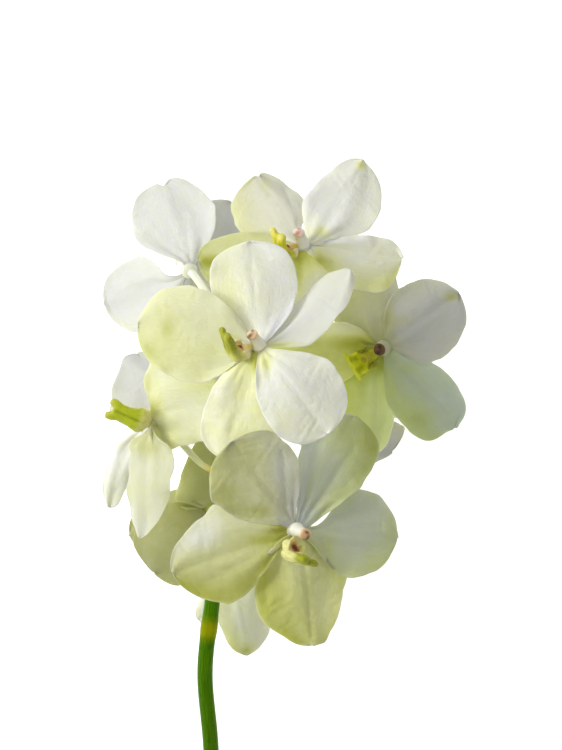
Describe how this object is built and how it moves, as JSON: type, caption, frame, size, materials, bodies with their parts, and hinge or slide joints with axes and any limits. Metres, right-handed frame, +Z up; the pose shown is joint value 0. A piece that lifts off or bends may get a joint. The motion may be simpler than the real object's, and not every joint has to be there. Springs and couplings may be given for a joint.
{
  "type": "cut vanda orchid",
  "caption": "Cut vanda orchid: cream white blooms with olive green lips round one green flower stem, lying down.",
  "frame": {"origin": "centre of the bounding box, on the surface that the spray lies on", "axes": "+Y along the stem from its cut end to the top blooms; +Z up from the surface, the way most blooms face"},
  "size_m": [0.136, 0.2953, 0.1115],
  "materials": {
    "tepals": "soft matte petal",
    "lip": "fleshy, satin",
    "column": "fleshy, satin",
    "anther_cap": "spotted, satin",
    "pedicel": "soft matte stalk",
    "stem": "smooth, satin"
  },
  "bodies": {
    "root": {"stem": "stem", "bloom_upper_left_tepals": "tepals", "bloom_upper_left_lip": "lip", "bloom_upper_left_column": "column", "bloom_upper_left_anther_cap": "anther_cap", "bloom_upper_left_pedicel": "pedicel", "bloom_top_tepals": "tepals", "bloom_top_lip": "lip", "bloom_top_column": "column", "bloom_top_anther_cap": "anther_cap", "bloom_top_pedicel": "pedicel", "bloom_centre_tepals": "tepals", "bloom_centre_lip": "lip", "bloom_centre_column": "column", "bloom_centre_anther_cap": "anther_cap", "bloom_centre_pedicel": "pedicel", "bloom_right_tepals": "tepals", "bloom_right_lip": "lip", "bloom_right_column": "column", "bloom_right_anther_cap": "anther_cap", "bloom_right_pedicel": "pedicel", "bloom_left_tepals": "tepals", "bloom_left_lip": "lip", "bloom_left_column": "column", "bloom_left_anther_cap": "anther_cap", "bloom_left_pedicel": "pedicel", "bloom_front_tepals": "tepals", "bloom_front_lip": "lip", "bloom_front_column": "column", "bloom_front_anther_cap": "anther_cap", "bloom_front_pedicel": "pedicel", "bloom_back_left_tepals": "tepals", "bloom_back_left_lip": "lip", "bloom_back_left_column": "column", "bloom_back_left_anther_cap": "anther_cap", "bloom_back_left_pedicel": "pedicel", "bloom_bottom_tepals": "tepals", "bloom_bottom_lip": "lip", "bloom_bottom_column": "column", "bloom_bottom_anther_cap": "anther_cap", "bloom_bottom_pedicel": "pedicel", "bloom_right_rear_tepals": "tepals", "bloom_right_rear_lip": "lip", "bloom_right_rear_column": "column", "bloom_right_rear_anther_cap": "anther_cap", "bloom_right_rear_pedicel": "pedicel"}
  },
  "joints": []
}
